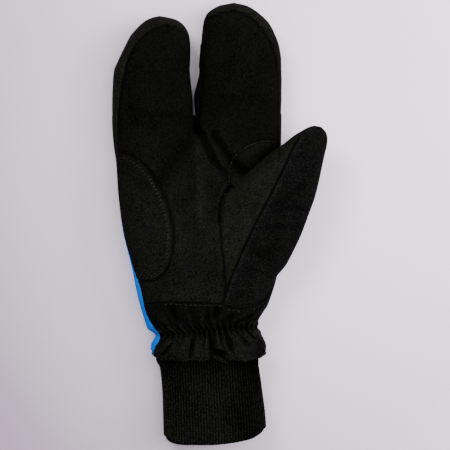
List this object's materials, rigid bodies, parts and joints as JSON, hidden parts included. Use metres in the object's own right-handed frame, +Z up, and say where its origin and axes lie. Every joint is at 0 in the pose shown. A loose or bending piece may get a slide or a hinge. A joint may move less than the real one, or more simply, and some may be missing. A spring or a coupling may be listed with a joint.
{
  "type": "lobster claw mitt",
  "caption": "Right-hand black insulated lobster claw ski mitt: two finger pouches, thumb with terry panel, heel patch, blue back, elastic-gathered wrist and long rib cuff.",
  "frame": {"origin": "middle of the box that holds the mitt, at the height of its flattened underside", "axes": "+Y toward the fingertips, +X toward the thumb, +Z up out of the palm; the mitt lies on its back"},
  "size_m": [0.14, 0.2882, 0.0431],
  "materials": {
    "palm_microfibre": "matt, brushed nap",
    "black_shell": "matt, fine weave",
    "blue_shell": "matt softshell",
    "terry": "rough looped pile",
    "skirt_fabric": "matt, gathered",
    "rib_knit": "matt rib knit",
    "loop_tape": "woven tape"
  },
  "bodies": {
    "root": {"palm_panel": "palm_microfibre", "finger_back": "black_shell", "back_panel": "blue_shell", "finger_fourchette": "black_shell", "thumb_palm_panel": "palm_microfibre", "thumb_terry_panel": "terry", "heel_patch": "palm_microfibre", "thumb_crotch_patch": "palm_microfibre", "wrist_skirt": "skirt_fabric", "rib_cuff": "rib_knit", "hang_loop": "loop_tape"}
  },
  "joints": []
}
